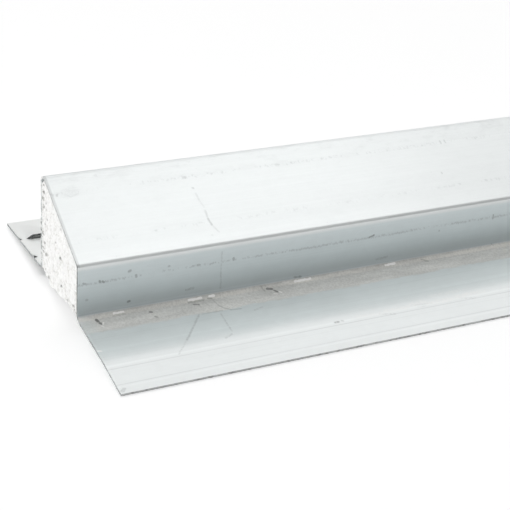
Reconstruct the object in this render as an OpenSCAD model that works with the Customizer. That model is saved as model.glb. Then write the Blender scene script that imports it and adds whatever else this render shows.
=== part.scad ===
// Insulated steel lintel for a cavity wall: one folded sheet of galvanised steel
// with a foam block in the space under its slope.
//
// X runs along the lintel, +Y points to the rear (inner leaf) side and +Z up.
// The origin is under the middle of the part, at the level of the surface that it lies on.

/* [Lintel] */
// Length of the lintel
lintel_length = 1200; // [600:50:2400]
// Thickness of the steel sheet
sheet_t = 2; // [1.2:0.1:3.2]
// Inner radius of the folds at the toe and in the rear flange
fold_r = 4; // [2:0.5:6]

/* [Front flange] */
// Reach of the front flange, from the front web's face to the toe
front_flange_w = 99; // [60:1:140]
// Slope of the front flange below level
front_flange_angle = 3.6; // [0.5:0.1:8]
// Inner radius of the fold between the front flange and the web
foot_r = 6; // [2:0.5:8]
// Width of the toe, the outer strip that is turned down
toe_w = 40; // [15:1:55]
// Turn of the toe below the slope of the front flange
toe_angle = 3.3; // [1:0.1:10]

/* [Body] */
// Height of the front web, from the flange's top face to the sharp corner of the knee
front_web_h = 47.8; // [25:0.1:90]
// Depth of the body, over the outer faces of both webs
body_depth = 93.5; // [60:0.5:140]
// Slope of the face that rises from the knee to the ridge
slope_angle = 24.8; // [10:0.1:45]
// Inner radius of the knee's fold
knee_r = 2; // [1:0.5:6]
// Inner radius of the ridge's fold
ridge_r = 5.5; // [2:0.5:8]

/* [Rear flange] */
// Reach of the rear flange, from the rear web's face to its edge
rear_flange_w = 101; // [85:1:160]
// Slope of the rear flange below level
rear_flange_angle = 4.5; // [1:0.1:10]

/* [Plaster key] */
// Distance from the rear web's face to the inner row of louvres
inner_row = 20; // [18:1:35]
// Distance between the two rows of louvres
row_spacing = 41; // [30:1:60]
// Distance from one louvre's start to the next one's in a row
louvre_pitch = 40; // [30:1:80]
// Uncut bridge between two louvres in a row
louvre_bridge = 4; // [3:0.5:15]
// Distance from the left end to the first whole louvre of the outer row
louvre_start = 6; // [2:0.5:20]
// How much further along the louvres of the inner row start than those of the outer row
row_shift = 1.5; // [0:0.5:20]
// Length over which a louvre rises to its full height
louvre_ramp = 6; // [3:0.5:10]
// Height of the raised lip on the outer side of a slit
lip_rise = 3.2; // [2:0.1:5]
// Width of the raised lip
lip_w = 8; // [5:0.5:14]
// Depth of the pressed-down lip on the inner side of a slit
dip_depth = 1; // [0.5:0.1:2]
// Width of the pressed-down lip
dip_w = 9; // [4:0.5:10]
// Gap of the slit between the two lips
slit_w = 0.4; // [0.2:0.1:1]

/* [Foam block] */
// Gap between the foam and the steel around it
core_gap = 0.5; // [0.2:0.1:0.9]
// Distance from each end of the lintel to the foam's end face
core_setback = 0.5; // [0:0.1:10]
// Height of the foam's level strip above the front flange's top face
core_lift = 0.5; // [0:0.1:4]
// Width of the foam's level strip behind the front web
core_level_w = 22; // [10:1:32]
// Distance from the rear web to the foam's lowest line
core_heel = 21; // [8:1:26]
// Height of the foam's lowest line above the surface that the lintel lies on
core_low = 4; // [1:0.5:6]

/* [Hidden] */

// Largest turn of one flat in a fold's round
fold_step = 11;
// How far a cutting solid runs past the face that it cuts
past = 1;
// Length of one louvre
louvre_length = louvre_pitch - louvre_bridge;
// Radius of a lip's curve, as a multiple of the one that leaves the flange at a tangent
lip_ease = 1.6;

// Slope of the toe below level, and the drops across the toe and across the rest of the flange
toe_slope = front_flange_angle + toe_angle;
toe_drop = toe_w * tan(toe_slope);
flange_drop = (front_flange_w - toe_w) * tan(front_flange_angle);
// Level of the front flange's top face at the web, with its toe on the surface below
front_level = toe_drop + flange_drop + sheet_t * cos(toe_slope);
// Level of the rear flange's top face at the rear web, with its edge on the surface below
rear_level = rear_flange_w * tan(rear_flange_angle) + sheet_t * cos(rear_flange_angle);
// Level of the sharp corners at the knee and the ridge
knee_level = front_level + front_web_h;
ridge_level = knee_level + body_depth * tan(slope_angle);
// Y of the front web's face, with the whole section centred on the origin
front_face = (front_flange_w - body_depth - rear_flange_w) / 2;
rear_face = front_face + body_depth;

// Sharp corners of the sheet's upper and outer side, from the front toe to the rear edge, as [y, z]
FOLD_LINE = [
    [front_face - front_flange_w, front_level - flange_drop - toe_drop],
    [front_face - front_flange_w + toe_w, front_level - flange_drop],
    [front_face, front_level],
    [front_face, knee_level],
    [rear_face, ridge_level],
    [rear_face, rear_level],
    [rear_face + rear_flange_w, rear_level - rear_flange_w * tan(rear_flange_angle)]
];
// Inner radius of the round at each corner; both ends have none
FOLD_R = [0, fold_r, foot_r, knee_r, ridge_r, fold_r, 0];
LAST = len(FOLD_LINE) - 1;

// Direction of the leg that leaves corner i, and its normal on the upper and outer side
function leg_turn(i) =
    let (leg = FOLD_LINE[i + 1] - FOLD_LINE[i]) atan2(leg[1], leg[0]);
function normal(turn) = [-sin(turn), cos(turn)];
// Turn from one leg to the next at corner i: positive folds up, negative folds down
function fold_turn(i) =
    let (turn = leg_turn(i) - leg_turn(i - 1)) turn - 360 * round(turn / 360);

// Points of the round at corner i, on the line that lies offset above the sheet's upper side
function fold_points(i, offset) =
    let (
        turn = fold_turn(i),
        side = sign(turn),
        r = side > 0 ? FOLD_R[i] : FOLD_R[i] + sheet_t,
        start = leg_turn(i - 1),
        mitre = normal(start) + normal(start + turn),
        centre = FOLD_LINE[i] + side * r * mitre / (1 + cos(turn)),
        steps = ceil(abs(turn) / fold_step)
    )
    [for (k = [0:steps]) centre + (offset - side * r) * normal(start + turn * k / steps)];

// One side of the sheet, from the front toe to the rear edge
function sheet_side(offset) = concat(
    [FOLD_LINE[0] + offset * normal(leg_turn(0))],
    [for (i = [1:LAST - 1]) each fold_points(i, offset)],
    [FOLD_LINE[LAST] + offset * normal(leg_turn(LAST - 1))]
);
function reversed(list) = [for (i = [len(list) - 1:-1:0]) list[i]];

// Turns a [y, z] outline into a solid of the given length, centred along X
module along(length) {
    rotate([90, 0, 90])
        linear_extrude(length, center = true)
            children();
}

module folded_sheet() {
    along(lintel_length)
        polygon(concat(sheet_side(0), reversed(sheet_side(-sheet_t))));
}

// Side view of a lip: its face curves up from the flange (y = 0) at x = width to the slit at x = 0,
// and its root reaches into the sheet. It runs on behind the hinge and into the slit's gap
module lip_curve(width, rise, root) {
    chord = norm([width, rise]);
    r = lip_ease * chord * chord / (2 * rise);
    rise_of_centre = sqrt(r * r - chord * chord / 4);
    centre = [width / 2 + rise_of_centre * rise / chord, rise / 2 + rise_of_centre * width / chord];
    difference() {
        translate([-slit_w / 4, -root])
            square([slit_w / 4 + centre[0], root + rise]);
        translate(centre)
            circle(r, $fn = 96);
    }
}

// Solid under one lip's face, with a ramp at each end of the slit
module lip_solid(width, rise, root) {
    run = louvre_ramp / rise;
    top = 1.2 * rise;
    intersection() {
        rotate([90, 0, 90])
            translate([0, 0, -root * run - past])
                linear_extrude(louvre_length + 2 * root * run + 2 * past)
                    lip_curve(width, rise, root);
        rotate([90, 0, 0])
            translate([0, 0, -3 * width])
                linear_extrude(3 * width + past)
                    polygon([
                        [-(root + past) * run, -root - past],
                        [louvre_length + (root + past) * run, -root - past],
                        [louvre_length - top * run, top],
                        [top * run, top]
                    ]);
    }
}

// Distances from the left end at which a row's louvres start; both ends cut through some of them
function louvre_starts(shift) =
    [for (x = louvre_start + shift - louvre_pitch; x < lintel_length; x = x + louvre_pitch) x];

// Copies a lip's solid along both rows in the rear flange's own plane, between the lintel's ends
module on_louvres(overrun) {
    length = lintel_length + 2 * overrun;
    intersection() {
        translate([-length / 2, rear_face, -rear_level])
            cube([length, rear_flange_w, 3 * rear_level]);
        translate([-lintel_length / 2, rear_face, rear_level])
            rotate([-rear_flange_angle, 0, 0]) {
                for (x = louvre_starts(0))
                    translate([x, inner_row + row_spacing, 0])
                        children();
                for (x = louvre_starts(row_shift))
                    translate([x, inner_row, 0])
                        children();
            }
    }
}

// The lip on the outer side of each slit, which is pushed up, over the given level of the sheet
module raised_lips(level, overrun, root) {
    on_louvres(overrun)
        translate([0, 0, level])
            lip_solid(lip_w, lip_rise, root);
}

// The lip on the inner side of each slit, which is pressed down
module dipped_lips(level, overrun, root) {
    on_louvres(overrun)
        translate([0, 0, level])
            mirror([0, 1, 0])
                mirror([0, 0, 1])
                    lip_solid(dip_w, dip_depth, root);
}

// The slit between the two lips, cut through the sheet and a little beyond both ramps
module slits() {
    on_louvres(past)
        translate([-slit_w, -slit_w / 2, -sheet_t - dip_depth - past])
            cube([louvre_length + 2 * slit_w, slit_w, sheet_t + dip_depth + lip_rise + 2 * past]);
}

// Each lip is the solid up to its face, less the same solid one sheet's thickness below it
module steel_profile() {
    color("lightsteelblue")
        difference() {
            union() {
                folded_sheet();
                raised_lips(0, 0, sheet_t / 2);
                dipped_lips(-sheet_t, 0, sheet_t / 2);
            }
            raised_lips(-sheet_t, past, past);
            dipped_lips(0, past, past);
            slits();
        }
}

// Foam block: the shape of the space under the slope, less the gap, with a shallow heel below
module insulation_core() {
    front = front_face + sheet_t + core_gap;
    rear = rear_face - sheet_t - core_gap;
    under_slope = (sheet_t + core_gap) / cos(slope_angle);
    base = front_level + core_lift;
    top_flat = ridge_r + 1;
    color("whitesmoke")
        along(lintel_length - 2 * core_setback)
            polygon([
                [front, base],
                [front + core_level_w, base],
                [rear - core_heel, core_low],
                [rear, rear_level],
                [rear, ridge_level - under_slope - (top_flat + sheet_t) * tan(slope_angle) - ridge_r],
                [rear - top_flat, ridge_level - under_slope - (top_flat + sheet_t) * tan(slope_angle)],
                [front, knee_level - under_slope]
            ]);
}

steel_profile();
insulation_core();
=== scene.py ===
"""Dresses the insulated steel lintel: its folded sheet, its foam block and a plain pale room."""

import logging
import math
from collections.abc import Callable, Iterator, Sequence
from contextlib import contextmanager
from dataclasses import dataclass
from enum import Enum
from functools import reduce

import bmesh
import bpy
from mathutils import Matrix, Vector

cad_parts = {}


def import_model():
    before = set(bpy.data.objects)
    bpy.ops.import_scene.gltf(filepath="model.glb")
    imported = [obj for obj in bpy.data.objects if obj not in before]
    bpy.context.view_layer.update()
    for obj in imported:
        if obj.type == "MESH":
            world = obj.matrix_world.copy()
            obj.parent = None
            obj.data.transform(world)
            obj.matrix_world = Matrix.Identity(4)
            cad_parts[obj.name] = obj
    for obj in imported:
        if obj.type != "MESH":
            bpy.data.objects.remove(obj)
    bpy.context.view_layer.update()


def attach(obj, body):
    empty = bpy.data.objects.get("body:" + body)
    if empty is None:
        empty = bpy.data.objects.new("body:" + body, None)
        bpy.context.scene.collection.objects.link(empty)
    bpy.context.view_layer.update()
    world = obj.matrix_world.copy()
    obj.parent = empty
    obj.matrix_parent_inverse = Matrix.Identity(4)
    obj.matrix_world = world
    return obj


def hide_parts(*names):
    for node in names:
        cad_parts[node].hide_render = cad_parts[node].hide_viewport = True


log = logging.getLogger("lintel")

MM = 0.001
# Distances in metres below which two places count as one: as drawn, and after a fold or a press
TINY = 1e-6
NEAR = 10 * TINY
# An end face's normal points along X by more than the first, and a long face's by less than the second
ALONG_X = 0.9
ACROSS_X = 0.5
Point = tuple[float, float]
Spot = tuple[float, float, float]
Colour = tuple[float, float, float]
Row = tuple[float, ...]
Piece = bpy.types.Object
Vert = bmesh.types.BMVert
Test = Callable[[object], bool]
Socket = bpy.types.NodeSocket
Value = Socket | float | Sequence[float]


def mm(metres: float) -> float:
    """Turns metres into millimetres, in which the finishes are drawn."""
    return metres / MM


def grade(degrees: float) -> float:
    """Gives how far a slope rises over a unit of run."""
    return math.tan(math.radians(degrees))


# ---------------------------------------------------------------- edit-mode helpers


class Kind(Enum):
    """What a selection picks: corners, edges or faces."""

    VERTS = "VERT"
    EDGES = "EDGE"
    FACES = "FACE"


class Face(Enum):
    """The faces of the sheet, each with the number of its material slot."""

    REST = 0
    EDGE = 1
    WEB = 2
    FLANGE = 3
    SLOPE = 4


def make_active(piece: Piece) -> None:
    """Selects one piece alone and makes it the active one.

    Args:
        piece: The piece.
    """
    bpy.ops.object.select_all(action="DESELECT")
    piece.select_set(True)
    bpy.context.view_layer.objects.active = piece


def name_new(name: str, turned: bool = False) -> Piece:
    """Names the piece that was just added and puts its place into its mesh.

    Args:
        name: Its name.
        turned: Whether it was added with a turn.

    Returns:
        The piece.
    """
    piece = bpy.context.object
    piece.name = name
    bpy.ops.object.transform_apply(location=True, rotation=turned, scale=False)
    return piece


@contextmanager
def editing() -> Iterator[None]:
    """Opens the active piece's mesh in edit mode, and leaves it again.

    Yields:
        Nothing, while the mesh is open.
    """
    bpy.ops.object.mode_set(mode="EDIT")
    yield
    bpy.ops.object.mode_set(mode="OBJECT")


def pick(piece: Piece, kind: Kind, test: Test) -> int:
    """Selects the parts of a mesh in edit mode that pass a test.

    Args:
        piece: The object that is in edit mode.
        kind: Whether corners, edges or faces are tested.
        test: Gets each bmesh element and says whether it is selected.

    Returns:
        How many elements are selected.
    """
    bpy.ops.mesh.select_mode(type=kind.value)
    bpy.ops.mesh.select_all(action="DESELECT")
    mesh = bmesh.from_edit_mesh(piece.data)
    parts = {Kind.VERTS: mesh.verts, Kind.EDGES: mesh.edges, Kind.FACES: mesh.faces}[kind]
    chosen = [part for part in parts if test(part)]
    for part in chosen:
        part.select_set(True)
    mesh.select_flush_mode()
    bmesh.update_edit_mesh(piece.data)
    return len(chosen)


def move(vector: Sequence[float]) -> None:
    """Moves what is selected in edit mode."""
    bpy.ops.transform.translate(value=tuple(vector))


def extrude(vector: Sequence[float]) -> None:
    """Extrudes what is selected in edit mode along a vector."""
    bpy.ops.mesh.extrude_region_move(TRANSFORM_OT_translate={"value": tuple(vector)})


def cut(piece: Piece, faces: Test, at: Spot, normal: Spot, trim: bool = False) -> None:
    """Cuts faces with a plane.

    Args:
        piece: The object that is in edit mode.
        faces: Says which faces are cut.
        at: A point of the plane.
        normal: The plane's normal.
        trim: Whether what lies on the normal's side is taken away and the opening closed with a face.
    """
    pick(piece, Kind.FACES, faces)
    bpy.ops.mesh.bisect(plane_co=at, plane_no=normal, clear_outer=trim, use_fill=trim)


def assign(piece: Piece, slot: Face, faces: Test) -> None:
    """Gives faces the material slot of one of the sheet's faces.

    Args:
        piece: The object that is in edit mode.
        slot: The face whose slot they get.
        faces: Says which faces get it.
    """
    pick(piece, Kind.FACES, faces)
    piece.active_material_index = slot.value
    bpy.ops.object.material_slot_assign()


def apply_modifier(piece: Piece, kind: str, **settings: object) -> None:
    """Adds a modifier with the given settings and applies it.

    Args:
        piece: The object that gets the modifier.
        kind: The modifier's type.
        settings: Its properties.
    """
    make_active(piece)
    modifier = piece.modifiers.new(kind.lower(), kind)
    for name, value in settings.items():
        setattr(modifier, name, value)
    bpy.ops.object.modifier_apply(modifier=modifier.name)


def shade_smooth(piece: Piece, angle: float) -> None:
    """Shades a piece smooth, except over edges that turn more than an angle in degrees."""
    make_active(piece)
    bpy.ops.object.shade_smooth_by_angle(angle=math.radians(angle))


# ---------------------------------------------------------------- node helpers


class Graph:
    """Adds and links the nodes of one node tree."""

    def __init__(self, tree: bpy.types.NodeTree) -> None:
        """Keeps the tree that the nodes go into."""
        self.tree = tree

    def node(self, kind: str, inputs: dict[str | int, Value] | None = None, **settings: object) -> bpy.types.Node:
        """Adds a node.

        Args:
            kind: The node's type, without its ShaderNode prefix.
            inputs: Values or sockets for its inputs, by name or number.
            settings: Its properties.

        Returns:
            The new node.
        """
        node = self.tree.nodes.new("ShaderNode" + kind)
        for name, value in settings.items():
            setattr(node, name, value)
        for name, value in (inputs or {}).items():
            self.feed(node.inputs[name], value)
        return node

    def feed(self, target: Socket, value: Value) -> None:
        """Links a socket to an input, or sets the input's own value.

        Args:
            target: The input.
            value: A socket, a number, a vector, or a colour without its alpha.
        """
        if isinstance(value, bpy.types.NodeSocket):
            self.tree.links.new(value, target)
        else:
            target.default_value = (*value, 1.0) if target.type == "RGBA" else value

    def math(self, operation: str, *values: Value, clamp: bool = False) -> Socket:
        """Adds a Math node and gives its result."""
        return self.node("Math", dict(enumerate(values)), operation=operation, use_clamp=clamp).outputs[0]

    def plus(self, *values: Value) -> Value:
        """Adds numbers."""
        return reduce(lambda one, other: self.math("ADD", one, other), values)

    def minus(self, value: Value, other: Value) -> Socket:
        """Takes one number from another."""
        return self.math("SUBTRACT", value, other)

    def times(self, *values: Value) -> Value:
        """Multiplies numbers."""
        return reduce(lambda one, other: self.math("MULTIPLY", one, other), values)

    def times_plus(self, value: Value, factor: Value, base: Value) -> Socket:
        """Multiplies a number and adds another."""
        return self.math("MULTIPLY_ADD", value, factor, base)

    def most(self, *values: Value) -> Value:
        """Gives the largest of some numbers."""
        return reduce(lambda one, other: self.math("MAXIMUM", one, other), values)

    def size_of(self, value: Value) -> Socket:
        """Gives a number without its sign."""
        return self.math("ABSOLUTE", value)

    def vector(self, operation: str, *values: Value) -> Socket:
        """Adds a Vector Math node and gives its vector."""
        return self.node("VectorMath", dict(enumerate(values)), operation=operation).outputs[0]

    def dot(self, one: Value, other: Value) -> Socket:
        """Gives the dot product of two vectors."""
        return self.node("VectorMath", {0: one, 1: other}, operation="DOT_PRODUCT").outputs["Value"]

    def toned(self, colour: Value, factor: Value) -> Socket:
        """Multiplies a colour or a vector by a number."""
        return self.node("VectorMath", {0: colour, "Scale": factor}, operation="SCALE").outputs[0]

    def scaled(self, place: Value, scale: Spot) -> Socket:
        """Stretches a place, so that a pattern read with it has its own grain."""
        return self.vector("MULTIPLY", place, scale)

    def smooth(self, value: Value, low: Value, high: Value, start: float = 0.0, end: float = 1.0) -> Socket:
        """Maps a value from low..high to start..end with a smooth step."""
        inputs = {0: value, 1: low, 2: high, 3: start, 4: end}
        return self.node("MapRange", inputs, interpolation_type="SMOOTHSTEP").outputs[0]

    def fall(self, value: Value, low: Value, high: Value) -> Socket:
        """Gives 1 below low, falling to 0 at high."""
        return self.smooth(value, low, high, 1.0, 0.0)

    def band(self, value: Value, start: float, low: float, high: float, end: float) -> Socket:
        """Gives 1 from low to high, falling to 0 at start and end."""
        return self.times(self.smooth(value, start, low), self.fall(value, high, end))

    def noise(self, place: Value, scale: Spot, detail: float = 2.0, roughness: float = 0.5) -> Socket:
        """Gives a noise pattern with its own scale along each axis."""
        inputs = {"Vector": self.scaled(place, scale), "Scale": 1.0, "Detail": detail, "Roughness": roughness}
        return self.node("TexNoise", inputs).outputs["Fac"]

    def swing(self, place: Value, scale: Spot, detail: float = 2.0, roughness: float = 0.5) -> Socket:
        """Gives a noise pattern that swings about 0."""
        return self.minus(self.noise(place, scale, detail, roughness), 0.5)

    def disturbed(self, place: Socket, scale: float, amount: float) -> Socket:
        """Shifts a place a little at random, so that what is drawn with it gets uneven outlines.

        Args:
            place: The place.
            scale: How quickly the shift changes.
            amount: How large it is.

        Returns:
            The shifted place.
        """
        noise = self.node("TexNoise", {"Vector": place, "Scale": scale, "Detail": 2.0})
        shift = self.vector("SUBTRACT", noise.outputs["Color"], (0.5, 0.5, 0.5))
        return self.vector("ADD", place, self.scaled(shift, (amount, amount, amount)))

    def blend(self, factor: Value, base: Value, top: Value, mode: str = "MIX") -> Socket:
        """Lays a colour over another."""
        inputs = {0: factor, 6: base, 7: top}
        return self.node("Mix", inputs, data_type="RGBA", blend_type=mode, clamp_factor=True).outputs[2]

    def stain(self, factor: Value, base: Value, tint: Value) -> Socket:
        """Multiplies a colour by a tint."""
        return self.blend(factor, base, tint, "MULTIPLY")

    def group(self, group: bpy.types.NodeTree, **inputs: Value) -> bpy.types.Node:
        """Adds a node group with its inputs' values.

        Args:
            group: The group to place.
            inputs: Its inputs by name.

        Returns:
            The group's node.
        """
        return self.node("Group", inputs, node_tree=group)

    def mask(self, group: bpy.types.NodeTree, **inputs: Value) -> Socket:
        """Adds a node group and gives its mask."""
        return self.group(group, **inputs).outputs["Mask"]


class Effect(Graph):
    """The graph of a shader node group, with named inputs and outputs."""

    def __init__(self, name: str, vectors: Sequence[str], values: Sequence[str] = ()) -> None:
        """Starts the group.

        Args:
            name: Its name.
            vectors: The names of its inputs that are places.
            values: The names of its inputs that are numbers.
        """
        super().__init__(bpy.data.node_groups.new(name, "ShaderNodeTree"))
        for kind, labels in (("Vector", vectors), ("Float", values)):
            for label in labels:
                self.tree.interface.new_socket(name=label, in_out="INPUT", socket_type="NodeSocket" + kind)
        start = self.tree.nodes.new("NodeGroupInput")
        self.given = [start.outputs[label] for label in (*vectors, *values)]

    def giving(self, **outputs: Socket) -> bpy.types.NodeTree:
        """Ends the group with its outputs.

        Args:
            outputs: What each output gives.

        Returns:
            The finished group.
        """
        for label in outputs:
            self.tree.interface.new_socket(name=label, in_out="OUTPUT", socket_type="NodeSocketFloat")
        end = self.tree.nodes.new("NodeGroupOutput")
        for label, value in outputs.items():
            self.feed(end.inputs[label], value)
        return self.tree


def new_material(name: str) -> bpy.types.Material:
    """Makes a material without any nodes.

    Args:
        name: Its name.

    Returns:
        The material.
    """
    material = bpy.data.materials.new(name)
    material.use_nodes = True
    material.node_tree.nodes.clear()
    return material


# ---------------------------------------------------------------- sizes


@dataclass(frozen=True)
class LintelSizes:
    """Sizes of the lintel, in metres and degrees, as its construction has them."""

    length: float = 1200 * MM
    sheet: float = 2 * MM
    fold_r: float = 4 * MM
    front_flange: float = 99 * MM
    front_angle: float = 3.6
    foot_r: float = 6 * MM
    toe: float = 40 * MM
    toe_angle: float = 3.3
    web: float = 47.8 * MM
    depth: float = 93.5 * MM
    slope_angle: float = 24.8
    knee_r: float = 2 * MM
    ridge_r: float = 5.5 * MM
    rear_flange: float = 101 * MM
    rear_angle: float = 4.5

    @property
    def front_face(self) -> float:
        """Y of the front web's face."""
        return (self.front_flange - self.depth - self.rear_flange) / 2

    @property
    def front_edge(self) -> float:
        """Y of the toe's edge."""
        return self.front_face - self.front_flange

    @property
    def bare_flange(self) -> float:
        """Width of the front flange between the web and the toe."""
        return self.front_flange - self.toe

    @property
    def rear_face(self) -> float:
        """Y of the rear web's face."""
        return self.front_face + self.depth

    @property
    def rear_edge(self) -> float:
        """Y of the rear flange's edge."""
        return self.rear_face + self.rear_flange

    @property
    def toe_slope(self) -> float:
        """Slope of the toe below level, in degrees."""
        return self.front_angle + self.toe_angle

    @property
    def toe_drop(self) -> float:
        """How far the toe falls across its width."""
        return self.toe * grade(self.toe_slope)

    @property
    def flange_drop(self) -> float:
        """How far the front flange falls from the web to the toe."""
        return self.bare_flange * grade(self.front_angle)

    @property
    def front_level(self) -> float:
        """Level of the front flange's top face at the web."""
        return self.toe_drop + self.flange_drop + self.sheet * math.cos(math.radians(self.toe_slope))

    @property
    def rear_drop(self) -> float:
        """How far the rear flange falls from the rear web to its edge."""
        return self.rear_flange * grade(self.rear_angle)

    @property
    def rear_level(self) -> float:
        """Level of the rear flange's top face at the rear web."""
        return self.rear_drop + self.sheet * math.cos(math.radians(self.rear_angle))

    @property
    def knee_level(self) -> float:
        """Level of the knee's sharp corner."""
        return self.front_level + self.web

    @property
    def ridge_level(self) -> float:
        """Level of the ridge's sharp corner."""
        return self.knee_level + self.depth * grade(self.slope_angle)

    def fold_line(self) -> list[Point]:
        """Gives the sharp corners of the sheet's outer side.

        Returns:
            The corners as (y, z), from the toe to the rear edge.
        """
        return [
            (self.front_edge, self.front_level - self.flange_drop - self.toe_drop),
            (self.front_edge + self.toe, self.front_level - self.flange_drop),
            (self.front_face, self.front_level),
            (self.front_face, self.knee_level),
            (self.rear_face, self.ridge_level),
            (self.rear_face, self.rear_level),
            (self.rear_edge, self.rear_level - self.rear_drop),
        ]

    def fold_turn(self, corner: int) -> float:
        """Gives the turn at a corner of the fold line.

        Args:
            corner: Which corner it is.

        Returns:
            The turn in degrees, above 0 where it folds up.
        """
        before, here, after = self.fold_line()[corner - 1 : corner + 2]
        arriving = math.atan2(here[1] - before[1], here[0] - before[0])
        leaving = math.atan2(after[1] - here[1], after[0] - here[0])
        return (math.degrees(leaving - arriving) + 180) % 360 - 180

    def outer_radius(self, corner: int) -> float:
        """Gives a fold's radius on the sheet's outer side."""
        inner = (0.0, self.fold_r, self.foot_r, self.knee_r, self.ridge_r, self.fold_r)[corner]
        return inner if self.fold_turn(corner) > 0 else inner + self.sheet


@dataclass(frozen=True)
class LouvreSizes:
    """Sizes of the pressed louvres in the rear flange, in metres."""

    inner_row: float = 20 * MM
    row_spacing: float = 41 * MM
    pitch: float = 40 * MM
    bridge: float = 4 * MM
    start: float = 6 * MM
    ramp: float = 6 * MM
    rise: float = 3.2 * MM
    raised_w: float = 8 * MM
    dip: float = 1 * MM
    dipped_w: float = 9 * MM
    slit: float = 0.4 * MM
    row_shift: float = 1.5 * MM

    @property
    def length(self) -> float:
        """Length of one louvre."""
        return self.pitch - self.bridge

    @property
    def outer_row(self) -> float:
        """Distance of the outer row's slits from the rear web's face."""
        return self.inner_row + self.row_spacing


@dataclass(frozen=True)
class Lip:
    """One of a louvre's two lips: its side of the slit, its width and rise, and where its lines lie across it."""

    side: int
    width: float
    rise: float
    lines: Row


# ---------------------------------------------------------------- folded sheet


@dataclass
class FoldedSheet:
    """The lintel's steel: one folded sheet with two rows of louvres in its rear flange."""

    sizes: LintelSizes
    louvres: LouvreSizes
    ramp_steps: int = 4
    raised_lines: Row = (0.22, 0.45, 0.7)
    dipped_lines: Row = (0.3, 0.6)
    lip_hollow: float = 1.6
    ramp_ease: float = 0.35
    fold_step: float = 7.0
    face_margin: float = 1 * MM
    rim_bevel: float = 0.18 * MM
    rim_angle: float = 60.0
    end_play: float = 0.12 * MM
    end_slack: float = 0.05 * MM
    toe_rim: float = 0.4 * MM
    toe_facing: float = -0.4
    smooth_angle: float = 21.0

    def rear_point(self, reach: float, height: float = 0.0) -> Point:
        """Gives (y, z) of a point over the rear flange.

        Args:
            reach: Distance from the rear web's face, along the flange.
            height: Distance above the flange's top face.

        Returns:
            The point's y and z.
        """
        angle = math.radians(self.sizes.rear_angle)
        y = self.sizes.rear_face + reach * math.cos(angle) + height * math.sin(angle)
        z = self.sizes.rear_level - reach * math.sin(angle) + height * math.cos(angle)
        return y, z

    def rear_reach(self, spot: Vector) -> float:
        """Gives a point's distance from the rear web's face, along the rear flange."""
        angle = math.radians(self.sizes.rear_angle)
        return (spot.y - self.sizes.rear_face) * math.cos(angle) - (spot.z - self.sizes.rear_level) * math.sin(angle)

    def cross_lines(self) -> list[float]:
        """Gives the reach of every line along the rear flange that the louvres need.

        Returns:
            The distances from the rear web's face, in order.
        """
        reaches = []
        for slit in (self.louvres.inner_row, self.louvres.outer_row):
            dips = [slit - self.louvres.dipped_w * part for part in (1.0, *reversed(self.dipped_lines))]
            rises = [slit + self.louvres.raised_w * part for part in (*self.raised_lines, 1.0)]
            reaches += [*dips, slit, *rises]
        return reaches

    def columns(self, start: float) -> list[float]:
        """Gives the distances along one pitch at which the two rows' ramps have a line.

        Args:
            start: Where the outer row's louvre starts.

        Returns:
            The X of each line, in order.
        """
        step = self.louvres.ramp / self.ramp_steps
        ramps = [index * step for index in range(self.ramp_steps + 1)]
        one_row = ramps + [self.louvres.length - distance for distance in ramps]
        both = one_row + [distance + self.louvres.row_shift for distance in one_row]
        return sorted({round(start + distance % self.louvres.pitch, 7) for distance in both})

    def build(self) -> Piece:
        """Builds the whole sheet.

        Returns:
            The piece, with its place in its mesh.
        """
        start = -self.sizes.length / 2 + self.louvres.start - self.louvres.pitch
        tile = self.lay_tile(start)
        with editing():
            self.fold_tile(tile)
            self.divide_tile(tile, start)
            self.press_row(tile, self.louvres.outer_row, start)
            self.press_row(tile, self.louvres.inner_row, start + self.louvres.row_shift)
        self.repeat(tile)
        self.mark_faces(tile)
        self.thicken(tile)
        return tile

    def lay_tile(self, start: float) -> Piece:
        """Lays a square of sheet, one louvre's pitch long, from the toe's edge on.

        Args:
            start: X of its left side.

        Returns:
            The square.
        """
        pitch = self.louvres.pitch
        y, z = self.sizes.fold_line()[0]
        bpy.ops.object.select_all(action="DESELECT")
        bpy.ops.mesh.primitive_plane_add(size=pitch, location=(start + pitch / 2, y + pitch / 2, z))
        return name_new("folded_sheet")

    def fold_tile(self, tile: Piece) -> None:
        """Draws the square out into a strip along the whole fold line and rounds its folds.

        Args:
            tile: The square, in edit mode.
        """
        corners = self.sizes.fold_line()
        far = corners[0][0] + self.louvres.pitch
        pick(tile, Kind.EDGES, lambda edge: all(vert.co.y > far - TINY for vert in edge.verts))
        move((0, corners[1][0] - far, corners[1][1] - corners[0][1]))
        here = corners[1]
        for stop in [*corners[2:6], *map(self.rear_point, self.cross_lines()), corners[6]]:
            extrude((0, stop[0] - here[0], stop[1] - here[1]))
            here = stop
        for corner in range(1, 6):
            self.round_fold(tile, corner)

    def round_fold(self, tile: Piece, corner: int) -> None:
        """Rounds one fold of the strip.

        Args:
            tile: The strip, in edit mode.
            corner: Which corner of the fold line is rounded.
        """
        y, z = self.sizes.fold_line()[corner]
        turn = abs(self.sizes.fold_turn(corner))
        half = math.radians(turn / 2)
        true_arc = (1 - 0.5 / (1 + math.cos(half))) ** 2
        pick(tile, Kind.EDGES, lambda edge: all(math.dist(vert.co.yz, (y, z)) < NEAR for vert in edge.verts))
        bpy.ops.mesh.bevel(
            offset_type="OFFSET",
            offset=self.sizes.outer_radius(corner) * math.tan(half),
            segments=max(2, round(turn / self.fold_step)),
            profile=true_arc,
            affect="EDGES",
        )

    def divide_tile(self, tile: Piece, start: float) -> None:
        """Cuts the louvres' part of the strip across, at each line of both rows' ramps.

        Args:
            tile: The strip, in edit mode.
            start: X of the strip's left side.
        """
        lines = self.cross_lines()

        def among_louvres(face: bmesh.types.BMFace) -> bool:
            """Says whether a face lies in the part of the rear flange that has louvres."""
            middle = face.calc_center_median()
            return lines[0] < self.rear_reach(middle) < lines[-1] and middle.y > self.sizes.rear_face + TINY

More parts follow.
